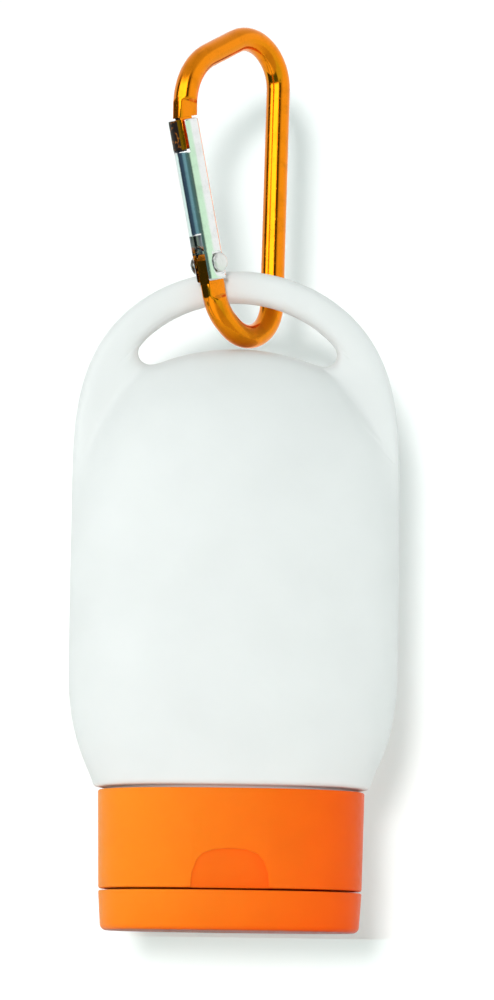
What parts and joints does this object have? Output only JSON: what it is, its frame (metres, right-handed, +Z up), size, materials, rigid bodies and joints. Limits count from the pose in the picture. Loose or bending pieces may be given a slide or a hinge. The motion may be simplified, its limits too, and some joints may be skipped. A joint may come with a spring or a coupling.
{
  "type": "travel squeeze bottle with flip cap and carabiner",
  "caption": "Flat oval squeeze bottle for lotion, standing on a flip-top cap, with a slotted handle rim and a spring-gate carabiner hooked through it.",
  "frame": {"origin": "centre of the lid's flat outer face, on which the bottle stands", "axes": "+Z up through the bottle to the carabiner, -Y towards the front with the thumb recess, +X to the right seen from the front"},
  "size_m": [0.0506, 0.027, 0.1404],
  "materials": {
    "bottle_white": "satin white blown polyethylene",
    "cap_orange": "satin orange moulded polypropylene",
    "anodised_orange": "glossy orange anodised",
    "gate_silver": "polished",
    "rivet_steel": "peened, dull",
    "spring_steel": "drawn wire"
  },
  "bodies": {
    "bottle": {"bottle_body": "bottle_white", "cap_base": "cap_orange", "hinge_film": "cap_orange"},
    "lid": {"cap_lid": "cap_orange"},
    "carabiner": {"carabiner_frame": "anodised_orange"},
    "gate": {"carabiner_gate": "gate_silver", "gate_rivet": "rivet_steel", "gate_spring": "spring_steel"},
    "plunger": {"gate_plunger": "spring_steel"}
  },
  "joints": [
    {"name": "lid_hinge", "type": "hinge", "parent": "bottle", "child": "lid", "pos_m": [0, 0.0122, 0.00615], "axis": [1, 0, 0], "range_deg": [0, 160]},
    {"name": "carabiner_swing", "type": "hinge", "parent": "bottle", "child": "carabiner", "pos_m": [0, 0, 0.09865], "axis": [1, 0, 0], "range_deg": [-110, 95]},
    {"name": "gate_pivot", "type": "hinge", "parent": "carabiner", "child": "gate", "pos_m": [-0.00457, -0.00592, 0.10178], "axis": [-0.7314, 0.682, 0], "range_deg": [0, 40], "stiffness_Nm_per_rad": 0.003, "springref_deg": -57.3},
    {"name": "plunger_slide", "type": "slide", "parent": "gate", "child": "plunger", "axis": [-0.1891, -0.2028, 0.9608], "range_m": [0, 0.0003], "deforming": ["gate_spring"]}
  ],
  "couplings": [
    {"joint": "plunger_slide", "follows": "gate_pivot", "m_per_rad": 0.0004}
  ]
}
